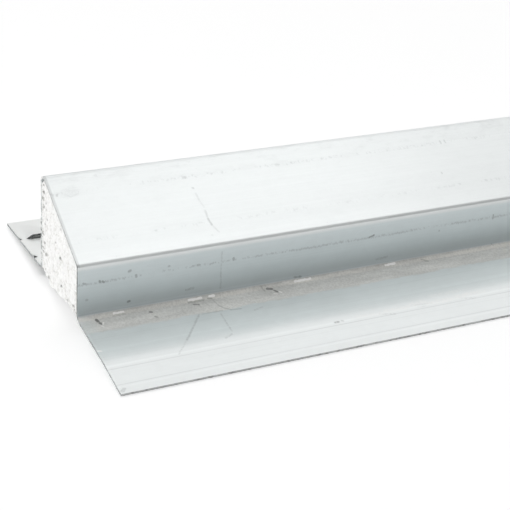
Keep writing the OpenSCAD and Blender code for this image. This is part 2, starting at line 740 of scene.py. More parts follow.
        for x in self.columns(start):
            if start + TINY < x < start + self.louvres.pitch - TINY:
                cut(tile, among_louvres, (x, 0, 0), (1, 0, 0))

    def press_row(self, tile: Piece, slit: float, start: float) -> None:
        """Slits the strip along one row and presses its two lips.

        Args:
            tile: The strip, in edit mode.
            slit: The row's reach along the rear flange.
            start: X at which one louvre of this row starts.
        """
        sizes = self.louvres

        def on_slit(edge: bmesh.types.BMEdge) -> bool:
            """Says whether an edge is opened."""
            middle = (edge.verts[0].co.x + edge.verts[1].co.x) / 2
            return self.past_start(middle, start) < sizes.length and all(self.on_line(end, slit) for end in edge.verts)

        pick(tile, Kind.EDGES, on_slit)
        bpy.ops.mesh.edge_split(type="EDGE")
        self.press_lip(tile, slit, start, Lip(1, sizes.raised_w, sizes.rise, self.raised_lines))
        self.press_lip(tile, slit, start, Lip(-1, sizes.dipped_w, -sizes.dip, self.dipped_lines))

    def press_lip(self, tile: Piece, slit: float, start: float, lip: Lip) -> None:
        """Presses one lip of a row up or down, line by line, and opens its slit.

        Args:
            tile: The strip, in edit mode.
            slit: The row's reach along the rear flange.
            start: X at which one louvre of this row starts.
            lip: The lip.
        """
        foot = Vector(self.rear_point(0))
        up, out = Vector(self.rear_point(0, 1)) - foot, Vector(self.rear_point(1)) - foot
        for part in (0.0, *lip.lines):
            line = slit + lip.side * lip.width * part
            gap = lip.side * self.louvres.slit / 2 * (part == 0.0)
            for step in range(1, self.ramp_steps + 1):
                share = step / self.ramp_steps

                def on_lip(vert: Vert) -> bool:
                    """Says whether a corner lies on this line and step of the lip."""
                    placed = self.on_line(vert, line) and self.on_step(vert, start, share)
                    return placed and self.beside(vert, slit, lip.side)

                if pick(tile, Kind.VERTS, on_lip):
                    height = lip.rise * (1 - part) ** self.lip_hollow * self.ramp_height(share)
                    move((0, up.x * height + out.x * gap, up.y * height + out.y * gap))

    def past_start(self, x: float, start: float) -> float:
        """Gives how far an X lies past the start of its louvre."""
        return (x - start + TINY) % self.louvres.pitch - TINY

    def on_line(self, vert: Vert, line: float) -> bool:
        """Says whether a corner lies on a line along the rear flange."""
        return abs(self.rear_reach(vert.co) - line) < NEAR and vert.co.y > self.sizes.rear_face + TINY

    def beside(self, vert: Vert, slit: float, side: int) -> bool:
        """Says whether all faces round a corner lie on one side of a slit."""
        return all((self.rear_reach(face.calc_center_median()) > slit) == (side > 0) for face in vert.link_faces)

    def on_step(self, vert: Vert, start: float, share: float) -> bool:
        """Says whether a corner lies at a step of a louvre's ramps.

        Args:
            vert: The corner.
            start: X at which one louvre of its row starts.
            share: Which part of the ramp the step is at; the last one takes in all that lies between the ramps.

        Returns:
            Whether it does.
        """
        x = self.past_start(vert.co.x, start)
        past = min(x, self.louvres.length - x) - self.louvres.ramp * share
        return past > -NEAR if share == 1.0 else abs(past) < NEAR

    def ramp_height(self, share: float) -> float:
        """Gives a ramp's height at a part of its run, as a share of its full height."""
        return share * share * (3 - 2 * share) * self.ramp_ease + share * (1 - self.ramp_ease)

    def repeat(self, tile: Piece) -> None:
        """Copies the strip along the lintel, past both of its ends.

        Args:
            tile: The finished strip.
        """
        apply_modifier(
            tile,
            "ARRAY",
            count=math.ceil((self.sizes.length - self.louvres.start) / self.louvres.pitch) + 1,
            use_relative_offset=False,
            use_constant_offset=True,
            constant_offset_displace=(self.louvres.pitch, 0, 0),
            use_merge_vertices=True,
            merge_threshold=TINY * 5,
        )

    def mark_faces(self, tile: Piece) -> None:
        """Gives the web, the front flange and the slope a material slot each.

        Args:
            tile: The whole sheet's outer side.
        """
        size = self.sizes
        for _ in Face:
            tile.data.materials.append(None)
        foot = size.front_face - size.foot_r - self.face_margin
        front = size.front_face + self.face_margin
        knee = size.knee_level - self.face_margin
        regions = {
            Face.WEB: lambda spot: foot < spot.y < front and spot.z < knee,
            Face.FLANGE: lambda spot: spot.y < foot,
            Face.SLOPE: lambda spot: spot.z > knee and spot.y < size.rear_face - size.ridge_r,
        }
        with editing():
            for slot, inside in regions.items():
                assign(tile, slot, lambda face: inside(face.calc_center_median()))

    def thicken(self, tile: Piece) -> None:
        """Gives the sheet its thickness, cuts both ends square and slightly breaks the cut edges.

        Args:
            tile: The whole sheet's outer side.
        """
        apply_modifier(
            tile,
            "SOLIDIFY",
            thickness=self.sizes.sheet,
            offset=-1,
            use_even_offset=True,
            material_offset_rim=Face.EDGE.value,
        )
        with editing():
            for side in (-1, 1):
                self.cut_end(tile, side)
        apply_modifier(
            tile,
            "BEVEL",
            width=self.rim_bevel,
            segments=2,
            limit_method="ANGLE",
            angle_limit=math.radians(self.rim_angle),
            material=Face.EDGE.value,
        )
        rim = self.sizes.front_edge + self.toe_rim
        with editing():
            assign(tile, Face.EDGE, lambda face: face.calc_center_median().y < rim and face.normal.y < self.toe_facing)
        shade_smooth(tile, self.smooth_angle)

    def cut_end(self, tile: Piece, side: int) -> None:
        """Cuts one end square.

        Args:
            tile: The thick sheet, in edit mode.
            side: 1 for the right end and -1 for the left one.
        """
        end = side * (self.sizes.length / 2 - self.end_play)

        def is_end(face: bmesh.types.BMFace) -> bool:
            """Says whether a face closes this end."""
            return abs(face.calc_center_median().x - end) < self.end_slack and abs(face.normal.x) > ALONG_X

        cut(tile, lambda face: True, (end, 0, 0), (side, 0, 0), trim=True)
        assign(tile, Face.EDGE, is_end)


# ---------------------------------------------------------------- foam block


@dataclass
class FoamBlock:
    """The block of white foam in the space under the slope.

    A pit is its y and z on the section, its radius and its depth, and a chip of the lower edge is its y and z,
    its radius and how far it is lifted, all in millimetres.
    """

    sizes: LintelSizes
    gap: float = 0.5 * MM
    setback: float = 0.5 * MM
    lift: float = 0.5 * MM
    level_w: float = 22 * MM
    heel: float = 21 * MM
    low: float = 4 * MM
    seed_radius: float = 20 * MM
    seed_level: float = 50 * MM
    middle: Point = (-6 * MM, 45 * MM)
    grid: float = 1 * MM
    rim_depth: float = 4 * MM
    torn_depth: float = 3 * MM
    pit_floor: float = 0.62
    chip_lean: float = 0.8
    bead: float = 3.6 * MM
    relief: float = 0.9 * MM
    smooth_angle: float = 50.0
    pits: tuple[Row, ...] = (
        (-3.7, 42.4, 1.9, 2.6),
        (-6.5, 17.7, 1.8, 2.4),
        (-21.7, 12.9, 1.6, 1.8),
        (-36.6, 16.0, 1.7, 2.0),
        (26.5, 8.5, 2.0, 2.0),
        (9.2, 50.7, 1.4, 1.2),
        (-39.5, 13.5, 1.4, 1.6),
        (-3.5, 68.9, 1.5, 1.2),
        (33.0, 27.0, 2.2, 1.6),
        (37.5, 36.0, 1.8, 1.8),
        (36.0, 54.4, 1.6, 1.6),
        (39.0, 69.0, 1.7, 1.8),
        (39.5, 83.0, 1.5, 1.6),
        (30.5, 61.0, 1.4, 1.2),
        (33.0, 75.0, 1.4, 1.2),
        (12.0, 22.0, 1.5, 1.2),
    )
    chips: tuple[Row, ...] = (
        (38.0, 9.0, 3.5, 1.6),
        (27.7, 5.0, 3.0, 1.2),
        (6.4, 7.0, 3.5, 0.9),
        (-14.2, 9.0, 3.0, 0.8),
        (-24.3, 11.0, 2.6, 0.7),
        (-31.8, 11.0, 2.8, 1.3),
        (-40.5, 11.0, 2.6, 1.4),
    )

    @property
    def end(self) -> float:
        """X of the right end face."""
        return self.sizes.length / 2 - self.setback

    def outline(self) -> list[Point]:
        """Gives the block's section as (y, z) corners, in order round it.

        Returns:
            The corners.
        """
        size = self.sizes
        front = size.front_face + size.sheet + self.gap
        rear = size.rear_face - size.sheet - self.gap
        under = (size.sheet + self.gap) / math.cos(math.radians(size.slope_angle))
        base = size.front_level + self.lift
        flat = size.ridge_r + 1 * MM
        top = size.ridge_level - under - (flat + size.sheet) * grade(size.slope_angle)
        return [
            (front, base),
            (front + self.level_w, base),
            (rear - self.heel, self.low),
            (rear, size.rear_level),
            (rear, top - size.ridge_r),
            (rear - flat, top),
            (front, size.knee_level - under),
        ]

    def build(self) -> Piece:
        """Builds the block.

        Returns:
            The piece, with its place in its mesh.
        """
        outline = self.outline()
        bpy.ops.object.select_all(action="DESELECT")
        bpy.ops.mesh.primitive_circle_add(
            vertices=len(outline),
            radius=self.seed_radius,
            fill_type="NGON",
            location=(-self.end, 0, self.seed_level),
            rotation=(math.pi / 2, 0, math.pi / 2),
        )
        block = name_new("foam_block", turned=True)
        with editing():
            self.shape_section(block, outline)
            pick(block, Kind.FACES, lambda face: True)
            extrude((self.sizes.length - 2 * self.setback, 0, 0))
            bpy.ops.mesh.select_all(action="SELECT")
            bpy.ops.mesh.normals_make_consistent(inside=False)
            self.divide_ends(block)
            self.tear_ends(block)
        self.raise_beads(block)
        return block

    def shape_section(self, block: Piece, outline: list[Point]) -> None:
        """Moves the corners of the round face to those of the section, in order round both.

        Args:
            block: The round face, in edit mode.
            outline: The section's corners.
        """
        starts = [vert.co.copy() for vert in block.data.vertices]
        y, z = self.middle
        turned = sorted(range(len(starts)), key=lambda at: math.atan2(starts[at].z - self.seed_level, starts[at].y))
        targets = sorted(outline, key=lambda spot: math.atan2(spot[1] - z, spot[0] - y))
        for index, target in zip(turned, targets, strict=True):
            pick(block, Kind.VERTS, lambda vert: vert.index == index)
            move((0, target[0] - starts[index].y, target[1] - starts[index].z))

    def divide_ends(self, block: Piece) -> None:
        """Cuts both end faces into a fine grid, so that they can take the beads' relief.

        Args:
            block: The block, in edit mode.
        """
        for side in (-1, 1):
            cut(block, lambda face: True, (side * (self.end - self.rim_depth), 0, 0), (1, 0, 0))
        ys, zs = zip(*self.outline(), strict=True)
        for low, high, normal in ((min(ys), max(ys), (0, 1, 0)), (min(zs), max(zs), (0, 0, 1))):
            steps = round((high - low) / self.grid)
            for step in range(1, steps):
                at = low + (high - low) * step / steps
                cut(block, lambda face: abs(face.normal.x) > ALONG_X, (0, at, at), normal)

    def tear_ends(self, block: Piece) -> None:
        """Presses pits into both end faces and chips their lower edges, and names the corners that take relief.

        Args:
            block: The block, in edit mode.
        """
        verts = bmesh.from_edit_mesh(block.data).verts
        rims = {vert.index for vert in verts if any(abs(face.normal.x) < ACROSS_X for face in vert.link_faces)}

        def away(vert: Vert, y: float, z: float) -> float:
            """Gives a corner's distance from a place on the section."""
            return math.hypot(vert.co.y - y * MM, vert.co.z - z * MM)

        def torn(vert: Vert) -> bool:
            """Says whether a corner lies within an end face."""
            return abs(vert.co.x) > self.end - self.torn_depth and vert.index not in rims

        def pitted(vert: Vert) -> bool:
            """Says whether a corner lies in the pit at hand."""
            return torn(vert) and vert.co.x * side > 0 and away(vert, y, z) < reach

        def chipped(vert: Vert) -> bool:
            """Says whether a corner lies in the chip at hand."""
            on_end = abs(vert.co.x - side * self.end) < TINY
            return on_end and vert.index in rims and away(vert, y, z) < radius * MM

        for side in (-1, 1):
            for y, z, radius, depth in self.pits:
                for reach in (radius * MM, radius * self.pit_floor * MM):
                    if pick(block, Kind.VERTS, pitted):
                        move((-side * depth * MM / 2, 0, 0))
            for y, z, radius, lift in self.chips:
                if pick(block, Kind.VERTS, chipped):
                    move((-side * lift * self.chip_lean * MM, 0, lift * MM))
        pick(block, Kind.VERTS, torn)
        bpy.ops.object.vertex_group_add()
        bpy.ops.object.vertex_group_assign()

    def raise_beads(self, block: Piece) -> None:
        """Gives both torn end faces the relief of round beads, pressed in between them.

        Args:
            block: The block, in object mode.
        """
        beads = bpy.data.textures.new("beads", "VORONOI")
        beads.noise_scale = self.bead
        apply_modifier(
            block,
            "DISPLACE",
            texture=beads,
            texture_coords="LOCAL",
            strength=-self.relief,
            mid_level=0.0,
            vertex_group=block.vertex_groups[0].name,
        )
        shade_smooth(block, self.smooth_angle)


# ---------------------------------------------------------------- shared effects


@dataclass(frozen=True)
class Effects:
    """The shader node groups that the finishes share; each reads its places in millimetres."""

    stroke: bpy.types.NodeTree
    dashes: bpy.types.NodeTree
    specks: bpy.types.NodeTree
    grain: bpy.types.NodeTree
    ragged: bpy.types.NodeTree

    @classmethod
    def build(cls) -> "Effects":
        """Builds every group once."""
        return cls(cls.build_stroke(), cls.build_dashes(), cls.build_specks(), cls.build_grain(), cls.build_ragged())

    @staticmethod
    def build_stroke() -> bpy.types.NodeTree:
        """Builds one soft-edged stroke between two points.

        Returns:
            The group: places near the line from Start to Finish get Strength, less where Holes and Broken meet.
        """
        places, values = ("Place", "Start", "Finish"), ("Radius", "Feather", "Strength", "Holes", "Broken")
        graph = Effect("stroke", places, values)
        place, start, finish, radius, feather, strength, holes, broken = graph.given
        along = graph.vector("SUBTRACT", finish, start)
        away = graph.vector("SUBTRACT", place, start)
        share = graph.math("DIVIDE", graph.dot(away, along), graph.plus(graph.dot(along, along), TINY), clamp=True)
        off = graph.vector("SUBTRACT", away, graph.toned(along, share))
        gap = graph.node("VectorMath", {0: off}, operation="LENGTH").outputs["Value"]
        mask = graph.fall(gap, radius, graph.plus(radius, feather))
        kept = graph.minus(1.0, graph.times(holes, broken))
        return graph.giving(Mask=graph.times(mask, strength, kept))

    @staticmethod
    def build_dashes() -> bpy.types.NodeTree:
        """Builds a row of uneven scuffs along the lintel.

        Returns:
            The group: Gap is the distance from the row's line, Reach its half width, Share how much is scuffed.
        """
        graph = Effect("row_of_scuffs", ("Place",), ("Gap", "Reach", "Share"))
        place, gap, reach, share = graph.given
        short = graph.noise(place, (0.42, 0.25, 0.25), 2.0, 0.6)
        long = graph.swing(place, (0.03, 0.01, 0.01), 1.0)
        scatter = graph.swing(place, (0.8, 0.1, 0.1), 2.0, 0.7)
        sway = graph.times_plus(scatter, 4.5, graph.times(long, 2.4))
        line = graph.fall(graph.size_of(graph.plus(gap, sway)), 0.0, reach)
        level = graph.plus(short, graph.times(long, 0.5))
        bar = graph.minus(1.0, share)
        lit = graph.smooth(level, bar, graph.plus(bar, 0.22))
        return graph.giving(Mask=graph.times(line, lit))

    @staticmethod
    def build_specks() -> bpy.types.NodeTree:
        """Builds scattered round specks.

        Returns:
            The group: Scale sets how close the specks may lie, Share how many there are, Size their radius.
        """
        graph = Effect("specks", ("Place",), ("Scale", "Share", "Size"))
        place, scale, share, radius = graph.given
        cells = graph.node("TexVoronoi", {"Vector": place, "Scale": scale})
        chance = graph.node("SeparateColor", {0: cells.outputs["Color"]})
        kept = graph.math("LESS_THAN", chance.outputs[0], share)
        size = graph.times(radius, graph.plus(chance.outputs[1], 0.5))
        spot = graph.fall(cells.outputs["Distance"], graph.times(size, 0.5), size)
        return graph.giving(Mask=graph.times(kept, spot))

    @staticmethod
    def build_grain() -> bpy.types.NodeTree:
        """Builds the grain of zinc coating: faint crystals, rolling lines, clouds and fine tooth.

        Returns:
            The group: Tone is about 1, Gloss and Height are about 0.
        """
        graph = Effect("zinc_grain", ("Place",))
        (place,) = graph.given
        cells = graph.node("TexVoronoi", {"Vector": graph.scaled(place, (0.16, 0.2, 0.2)), "Scale": 1.0})
        crystal = graph.minus(graph.node("SeparateColor", {0: cells.outputs["Color"]}).outputs[0], 0.5)
        rolled = graph.swing(place, (0.0035, 0.55, 0.55), 3.0, 0.6)
        cloud = graph.swing(place, (0.012, 0.03, 0.03), 3.0)
        tooth = graph.swing(place, (0.9, 0.9, 0.9), 3.0, 0.7)
        tone = 1.0
        for layer, share in ((crystal, 0.022), (rolled, 0.07), (cloud, 0.07), (tooth, 0.05)):
            tone = graph.times_plus(layer, share, tone)
        gloss = graph.times_plus(cloud, 0.1, graph.times(crystal, 0.05))
        height = graph.times_plus(tooth, 0.5, graph.times(rolled, 0.8))
        return graph.giving(Tone=tone, Gloss=gloss, Height=height)

    @staticmethod
    def build_ragged() -> bpy.types.NodeTree:
        """Builds the ragged spread of dirt.

        Returns:
            The group: Cover from 0 to 1 says how likely a place is dirty, Rough how uneven the spread is.
        """
        graph = Effect("ragged_dirt", ("Place",), ("Cover", "Rough"))
        place, cover, rough = graph.given
        wide = graph.swing(place, (0.07, 0.16, 0.16), 3.0, 0.6)
        fine = graph.noise(place, (0.55, 0.45, 0.45), 3.0, 0.65)
        grains = graph.times(graph.minus(fine, 0.5), graph.times(rough, 0.45))
        level = graph.plus(cover, graph.times(wide, rough), grains)
        return graph.giving(Mask=graph.smooth(level, 0.38, 0.62), Mottle=graph.smooth(fine, 0.2, 0.8))


# ---------------------------------------------------------------- marks

# A scratch is thinner and longer than these, in millimetres
THIN = 0.35
LONG = 4.0
# Distances in front of the web between which both its finish and the flange's draw a mark, in millimetres
FOLD_START = 4.0
FOLD_END = 8.5


@dataclass(frozen=True)
class Mark:
    """One spot or scratch on a face, in millimetres from the left end and across the face."""

    face: Face
    start: Point
    finish: Point
    radius: float
    strength: float
    broken: float = 0.0
    feather: float = 1.0

    @property
    def is_scratch(self) -> bool:
        """Whether it is a long thin scratch, which is fainter and softer than a spot."""
        return self.radius < THIN and math.dist(self.start, self.finish) > LONG

    @property
    def soft_edge(self) -> float:
        """Width of its soft edge."""
        return self.feather * (1.15 if self.is_scratch else 0.8)

    @property
    def darkness(self) -> float:
        """Strength with which it is drawn."""
        return self.strength * (0.45 if self.is_scratch else 0.8)

    def shows_on(self, face: Face) -> bool:
        """Says whether a face's finish has to draw the mark; the web's finish runs on over the foot's fold.

        Args:
            face: The face.

        Returns:
            Whether it has to.
        """
        reach = (self.start[1], self.finish[1])
        if self.face is Face.FLANGE:
            return (face is Face.WEB and min(reach) < FOLD_END) or (face is Face.FLANGE and max(reach) > FOLD_START)
        return face is self.face

    def spot(self, sizes: LintelSizes, end: Point) -> Spot:
        """Gives the place of one of the mark's ends.

        Args:
            sizes: The lintel's sizes.
            end: The distance from the left end, and the distance on the face: the level on the web, the
                distance in front of the web on the flange, and behind it on the slope.

        Returns:
            The place in millimetres, in the lintel's own frame.
        """
        x, across = end[0] - mm(sizes.length) / 2, end[1]
        front, level = mm(sizes.front_face), mm(sizes.front_level)
        if self.face is Face.WEB:
            return x, front, across
        if self.face is Face.SLOPE:
            return x, front + across, mm(sizes.knee_level) + across * grade(sizes.slope_angle)
        bare, foot = mm(sizes.bare_flange), mm(sizes.foot_r)
        drop = min(across, bare) * grade(sizes.front_angle) + max(across - bare, 0) * grade(sizes.toe_slope)
        if across < foot:
            drop = foot * (grade(sizes.front_angle) - 1) + math.sqrt(foot**2 - (foot - across) ** 2)
        return x, front - across, level - drop


def marks_on(face: Face, *rows: Row) -> tuple[Mark, ...]:
    """Makes marks on one face from rows of x, across, x, across, radius, strength and how broken each is."""
    return tuple(Mark(face, (row[0], row[1]), (row[2], row[3]), *row[4:]) for row in rows)


DARK_MARKS = (
    marks_on(
        Face.FLANGE,
        (14.4, 5.5, 14.8, 8.0, 1.0, 0.9),
        (15.6, 10.5, 16.4, 12.0, 0.8, 0.85),
        (60.0, 7.8, 60.6, 8.2, 0.9, 0.75),
        (61.5, 15.0, 62.2, 16.0, 0.8, 0.6, 0.3),
        (98.5, 8.4, 102.0, 9.8, 0.5, 0.75, 0.3),
        (168.0, 5.0, 171.5, 6.2, 1.0, 0.85, 0.2),
        (172.8, 8.6, 174.4, 11.4, 0.8, 0.85, 0.2),
        (163.5, 2.0, 164.5, 7.0, 0.4, 0.4, 0.5),
        (112.6, 3.9, 116.0, 4.6, 0.35, 0.45),
        (95.0, 4.6, 108.5, 4.6, 0.4, 0.45, 0.3),
        (29.0, 4.6, 39.5, 4.6, 0.3, 0.4, 0.3),
        (324.0, 3.6, 329.0, 5.4, 1.2, 0.4, 0.8),
        (96.6, 22.9, 84.9, 38.0, 0.25, 0.5, 0.4),
        (84.9, 38.0, 73.1, 52.9, 0.3, 0.55, 0.3),
        (73.1, 52.9, 60.0, 67.7, 0.15, 0.35, 0.6),
        (114.2, 27.6, 112.7, 52.4, 0.15, 0.4, 0.6),
        (110.9, 56.2, 104.0, 59.7, 0.3, 0.35, 0.5),
        (116.4, 6.7, 117.3, 14.8, 0.15, 0.4, 0.3),
        (117.3, 14.8, 120.3, 20.3, 0.2, 0.6),
        (120.3, 20.3, 125.4, 24.6, 0.2, 0.6),
        (125.4, 24.6, 133.5, 25.2, 0.2, 0.55, 0.2),
        (99.2, 23.0, 117.1, 23.4, 0.1, 0.6, 0.2),
        (143.8, 30.6, 151.4, 28.3, 0.3, 0.35, 0.5),
        (200.3, 66.3, 203.6, 66.4, 0.8, 0.5, 0.4),
        (206.9, 66.2, 208.0, 66.4, 0.4, 0.3),
        (279.6, 64.0, 295.8, 65.9, 0.3, 0.3, 0.7),
        (281.0, 67.0, 288.0, 67.6, 0.3, 0.25, 0.7),
        (243.3, 66.7, 255.9, 70.3, 0.8, 0.14, 0.8),
        (324.3, 66.2, 337.5, 69.9, 0.8, 0.12, 0.8),
        (2.6, 95.9, 4.4, 94.0, 1.2, 0.28, 0.4),
    )
    + marks_on(
        Face.WEB,
        (43.4, 46.9, 44.4, 46.9, 0.9, 0.42, 0.2),
        (18.6, 42.4, 19.2, 41.2, 0.5, 0.6),
        (21.2, 41.4, 22.0, 40.4, 0.6, 0.6),
        (5.2, 41.9, 6.2, 41.9, 0.8, 0.42, 0.2),
        (7.8, 26.8, 8.2, 26.8, 0.6, 0.25),
        (43.2, 18.6, 44.6, 18.9, 0.6, 0.6),
        (49.5, 42.4, 49.7, 40.4, 0.5, 0.38),
        (77.6, 45.6, 78.4, 45.6, 0.6, 0.35, 0.3),
        (103.6, 41.9, 105.0, 41.9, 0.7, 0.4, 0.3),
        (136.1, 42.8, 136.4, 41.4, 0.7, 0.45, 0.2),
        (196.0, 13.9, 202.0, 14.1, 0.6, 0.5, 0.3),
        (94.5, 20.2, 101.0, 20.8, 0.6, 0.32, 0.5),
        (278.0, 17.8, 288.5, 18.4, 0.7, 0.25, 0.6),
        (267.0, 41.3, 272.0, 42.4, 0.4, 0.62),
        (398.7, 43.2, 399.2, 39.6, 0.3, 0.5, 0.2),
        (125.0, 50.5, 125.3, 31.7, 0.1, 0.3, 0.5),
        (125.3, 31.7, 125.9, 16.2, 0.15, 0.4, 0.4),
    )
    + marks_on(
        Face.SLOPE,
        (121.0, 55.9, 121.6, 55.4, 0.6, 0.22),
        (121.6, 50.0, 121.8, 43.5, 0.25, 0.24, 0.3),
        (121.8, 43.5, 123.4, 36.2, 0.2, 0.18, 0.4),
        (123.0, 32.5, 122.1, 24.5, 0.3, 0.34, 0.3),
        (122.1, 24.5, 123.2, 18.4, 0.3, 0.5, 0.2),
        (123.2, 18.4, 126.5, 11.1, 0.25, 0.28, 0.4),
        (119.2, 9.3, 119.8, 9.3, 0.6, 0.08),
        (118.4, 66.6, 118.7, 67.2, 0.7, 0.2),
        (360.6, 35.0, 360.8, 36.4, 0.5, 0.2),
        (372.0, 21.7, 372.6, 21.7, 0.7, 0.14),
        (400.6, 21.8, 401.6, 21.8, 0.8, 0.16),
        (5.0, 65.9, 5.6, 67.0, 0.6, 0.26),
        (12.1, 66.7, 15.6, 63.1, 0.5, 0.12, 0.4),
        (15.6, 63.1, 22.9, 65.1, 0.5, 0.12, 0.4),
        (42.4, 80.2, 43.6, 80.2, 0.6, 0.1),
        (74.0, 21.2, 74.6, 21.2, 0.6, 0.16),
        (13.0, 66.5, 20.0, 69.5, 3.0, 0.07, 0.7, 4.0),
        (377.4, 66.5, 377.6, 69.5, 0.4, 0.22),
        (382.5, 66.5, 382.7, 69.5, 0.4, 0.22),
    )
)
# Pale marks: worn and flaked patches on the flange, and bright dashes along the foot of the web that are painted
# glints.
PALE_MARKS = marks_on(
    Face.FLANGE,
    (17.4, 12.8, 18.4, 10.8, 0.3, 0.8),
    (15.4, 15.0, 16.4, 15.4, 0.3, 0.45),
    (175.8, 11.6, 177.0, 13.0, 0.5, 0.7),
    (170.6, 13.2, 172.8, 14.4, 0.4, 0.5),
    (322.0, 12.4, 327.5, 13.8, 1.0, 0.3, 0.5),
    (0.4, 45.3, 3.4, 46.4, 0.35, 0.95),
    (352.0, 8.0, 372.0, 8.8, 0.5, 0.25, 0.8),
    (222.0, 65.0, 246.0, 66.4, 0.8, 0.35, 0.7, 2.4),
    (250.0, 64.6, 272.0, 65.4, 1.2, 0.45, 0.8, 3.0),
    (276.0, 62.8, 290.0, 61.8, 1.4, 0.45, 0.8, 3.0),
    (292.0, 65.6, 316.0, 65.0, 1.2, 0.5, 0.8, 3.0),
    (322.0, 64.0, 350.0, 63.0, 1.4, 0.45, 0.8, 3.0),
    (300.0, 57.0, 330.0, 56.0, 1.0, 0.25, 0.9, 3.0),
    # These rows along the fold at the foot of the web are painted glints.
    (30.0, 2.4, 38.6, 2.4, 0.6, 1.3, 0.1, 0.7),
    (96.4, 2.6, 107.6, 2.4, 0.8, 1.3, 0.1, 0.7),
    (115.3, 2.4, 118.8, 2.2, 0.9, 1.3, 0.0, 0.7),
    (184.0, 1.7, 189.4, 1.7, 0.4, 0.35, 0.4),
    (195.4, 2.5, 210.6, 2.4, 0.8, 1.3, 0.1, 0.7),
    (286.4, 2.4, 296.4, 2.2, 0.7, 1.3, 0.1, 0.7),
)


# ---------------------------------------------------------------- finishes


class Finish(Graph):
    """The graph of one material, with its places and the lintel's main sizes in millimetres."""

    def __init__(self, name: str, sizes: LintelSizes, effects: Effects) -> None:
        """Starts the material and reads its places.

        Args:
            name: The material's name.
            sizes: The lintel's sizes.
            effects: The shared groups.
        """
        self.material = new_material(name)
        super().__init__(self.material.node_tree)
        self.sizes, self.effects = sizes, effects
        self.place = self.scaled(self.node("TexCoord").outputs["Object"], (1 / MM, 1 / MM, 1 / MM))
        self.x, self.y, self.z = self.node("SeparateXYZ", {0: self.place}).outputs
        self.end = mm(sizes.length) / 2
        self.front, self.rear = mm(sizes.front_face), mm(sizes.rear_face)
        self.level, self.knee = mm(sizes.front_level), mm(sizes.knee_level)
        self.ahead = self.minus(self.front, self.y)
        self.from_left = self.plus(self.x, self.end)

    def grain(self) -> bpy.types.Node:
        """Adds the grain of zinc coating."""
        return self.group(self.effects.grain, Place=self.place)

    def specks(self, scale: float, share: Value, size: float, place: Socket | None = None) -> Socket:
        """Gives scattered specks."""
        return self.mask(self.effects.specks, Place=place or self.place, Scale=scale, Share=share, Size=size)

    def near_ends(self, start: float, end: float) -> Socket:
        """Gives 0 where both ends of the lintel are further off than start, rising to 1 nearer than end."""
        return self.smooth(self.size_of(self.x), self.end - start, self.end - end)

    def marks(self, face: Face, marks: Sequence[Mark], place: Socket, holes: Socket) -> Value:
        """Draws marks and gives the mask of all of them.

        Args:
            face: The face that the material covers.
            marks: The marks of all faces.
            place: The place, a little disturbed.
            holes: Where broken marks are interrupted.

        Returns:
            The mask.
        """
        mask = 0.0
        for mark in marks:
            if mark.shows_on(face):
                stroke = self.mask(
                    self.effects.stroke,
                    Place=place,
                    Start=mark.spot(self.sizes, mark.start),
                    Finish=mark.spot(self.sizes, mark.finish),
                    Radius=mark.radius,
                    Feather=mark.soft_edge,
                    Strength=mark.darkness,
                    Holes=holes,
                    Broken=mark.broken,
                )
                mask = self.most(mask, stroke)
        return mask

    def finish(
        self, colour: Value, metallic: Value, roughness: Value, height: Value, depth: float
    ) -> bpy.types.Material:
        """Ends the material with its shader and relief.

        Args:
            colour: The base colour.
            metallic: How metallic it is.
            roughness: How rough it is.
            height: The relief, from 0 to 1.
            depth: The relief's depth in metres.

        Returns:
            The material.
        """
        bump = self.node("Bump", {"Strength": 1.0, "Distance": depth, "Height": height})
        inputs = {"Base Color": colour, "Metallic": metallic, "Roughness": roughness, "Normal": bump.outputs[0]}
        shader = self.node("BsdfPrincipled", inputs)
        self.node("OutputMaterial", {"Surface": shader.outputs[0]})
        return self.material


